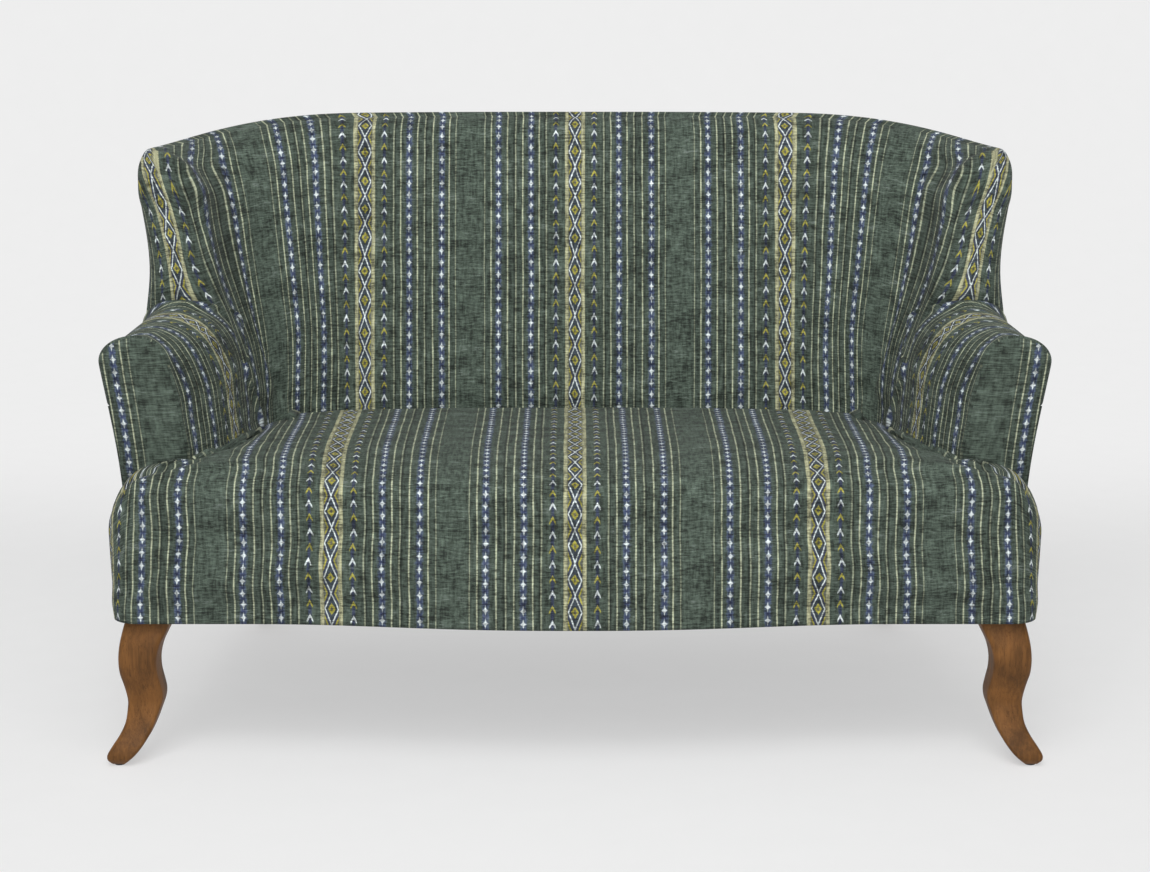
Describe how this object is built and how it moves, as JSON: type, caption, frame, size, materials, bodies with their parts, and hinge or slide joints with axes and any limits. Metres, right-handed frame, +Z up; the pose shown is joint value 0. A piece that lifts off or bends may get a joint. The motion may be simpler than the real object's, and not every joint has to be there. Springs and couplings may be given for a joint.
{
  "type": "high back settee",
  "caption": "upholstered settee with a high tub back whose wings run into padded arms, a fixed sprung seat with a T-shaped front and cabriole front legs",
  "frame": {"origin": "the middle of the settee's outline, on the floor below the glides", "axes": "+X across the seat to the sitter's left as seen from the front, +Y from the front to the back, +Z up"},
  "size_m": [1.5, 0.84, 1.005],
  "materials": {
    "cover_cloth": "matt woven cotton stripe of the ikat kind",
    "padding": "upholstery foam and wadding",
    "hessian": "coarse woven jute",
    "dust_cloth": "thin black dust cloth",
    "frame_timber": "planed beech, unfinished",
    "leg_timber": "mid brown stained and waxed hardwood",
    "steel": "zinc plated steel",
    "glide_plastic": "dark moulded plastic"
  },
  "bodies": {
    "root": {"front_rail": "frame_timber", "side_rail_right": "frame_timber", "side_rail_left": "frame_timber", "rear_rail": "frame_timber", "cross_rail": "frame_timber", "front_corner_block_right": "frame_timber", "front_corner_block_left": "frame_timber", "rear_corner_block_right": "frame_timber", "rear_corner_block_left": "frame_timber", "front_leg_right": "leg_timber", "front_leg_left": "leg_timber", "front_leg_plate_right": "steel", "front_leg_plate_left": "steel", "front_leg_bolt_right": "steel", "front_leg_bolt_left": "steel", "front_glide_right": "glide_plastic", "front_glide_left": "glide_plastic", "rear_leg_right": "leg_timber", "rear_leg_left": "leg_timber", "rear_leg_plate_right": "steel", "rear_leg_plate_left": "steel", "rear_leg_bolt_right": "steel", "rear_leg_bolt_left": "steel", "rear_glide_right": "glide_plastic", "rear_glide_left": "glide_plastic", "seat_spring_1": "steel", "seat_spring_2": "steel", "seat_spring_3": "steel", "seat_spring_4": "steel", "seat_spring_5": "steel", "seat_spring_6": "steel", "back_top_rail": "frame_timber", "back_post_right": "frame_timber", "back_post_left": "frame_timber", "wing_post_right": "frame_timber", "wing_post_left": "frame_timber", "arm_rail_right": "frame_timber", "arm_rail_left": "frame_timber", "arm_stump_right": "frame_timber", "arm_stump_left": "frame_timber", "back_lower_rail": "frame_timber", "back_pad": "padding", "back_cover": "cover_cloth", "outer_back_cover": "cover_cloth", "back_lining": "hessian", "arm_pad_right": "padding", "arm_pad_left": "padding", "arm_cover_right": "cover_cloth", "arm_cover_left": "cover_cloth", "outer_arm_cover_right": "cover_cloth", "outer_arm_cover_left": "cover_cloth", "arm_facing_right": "cover_cloth", "arm_facing_left": "cover_cloth", "seat_cover": "cover_cloth", "seat_pad": "padding", "seat_canvas": "hessian", "dust_cover": "dust_cloth"}
  },
  "joints": []
}
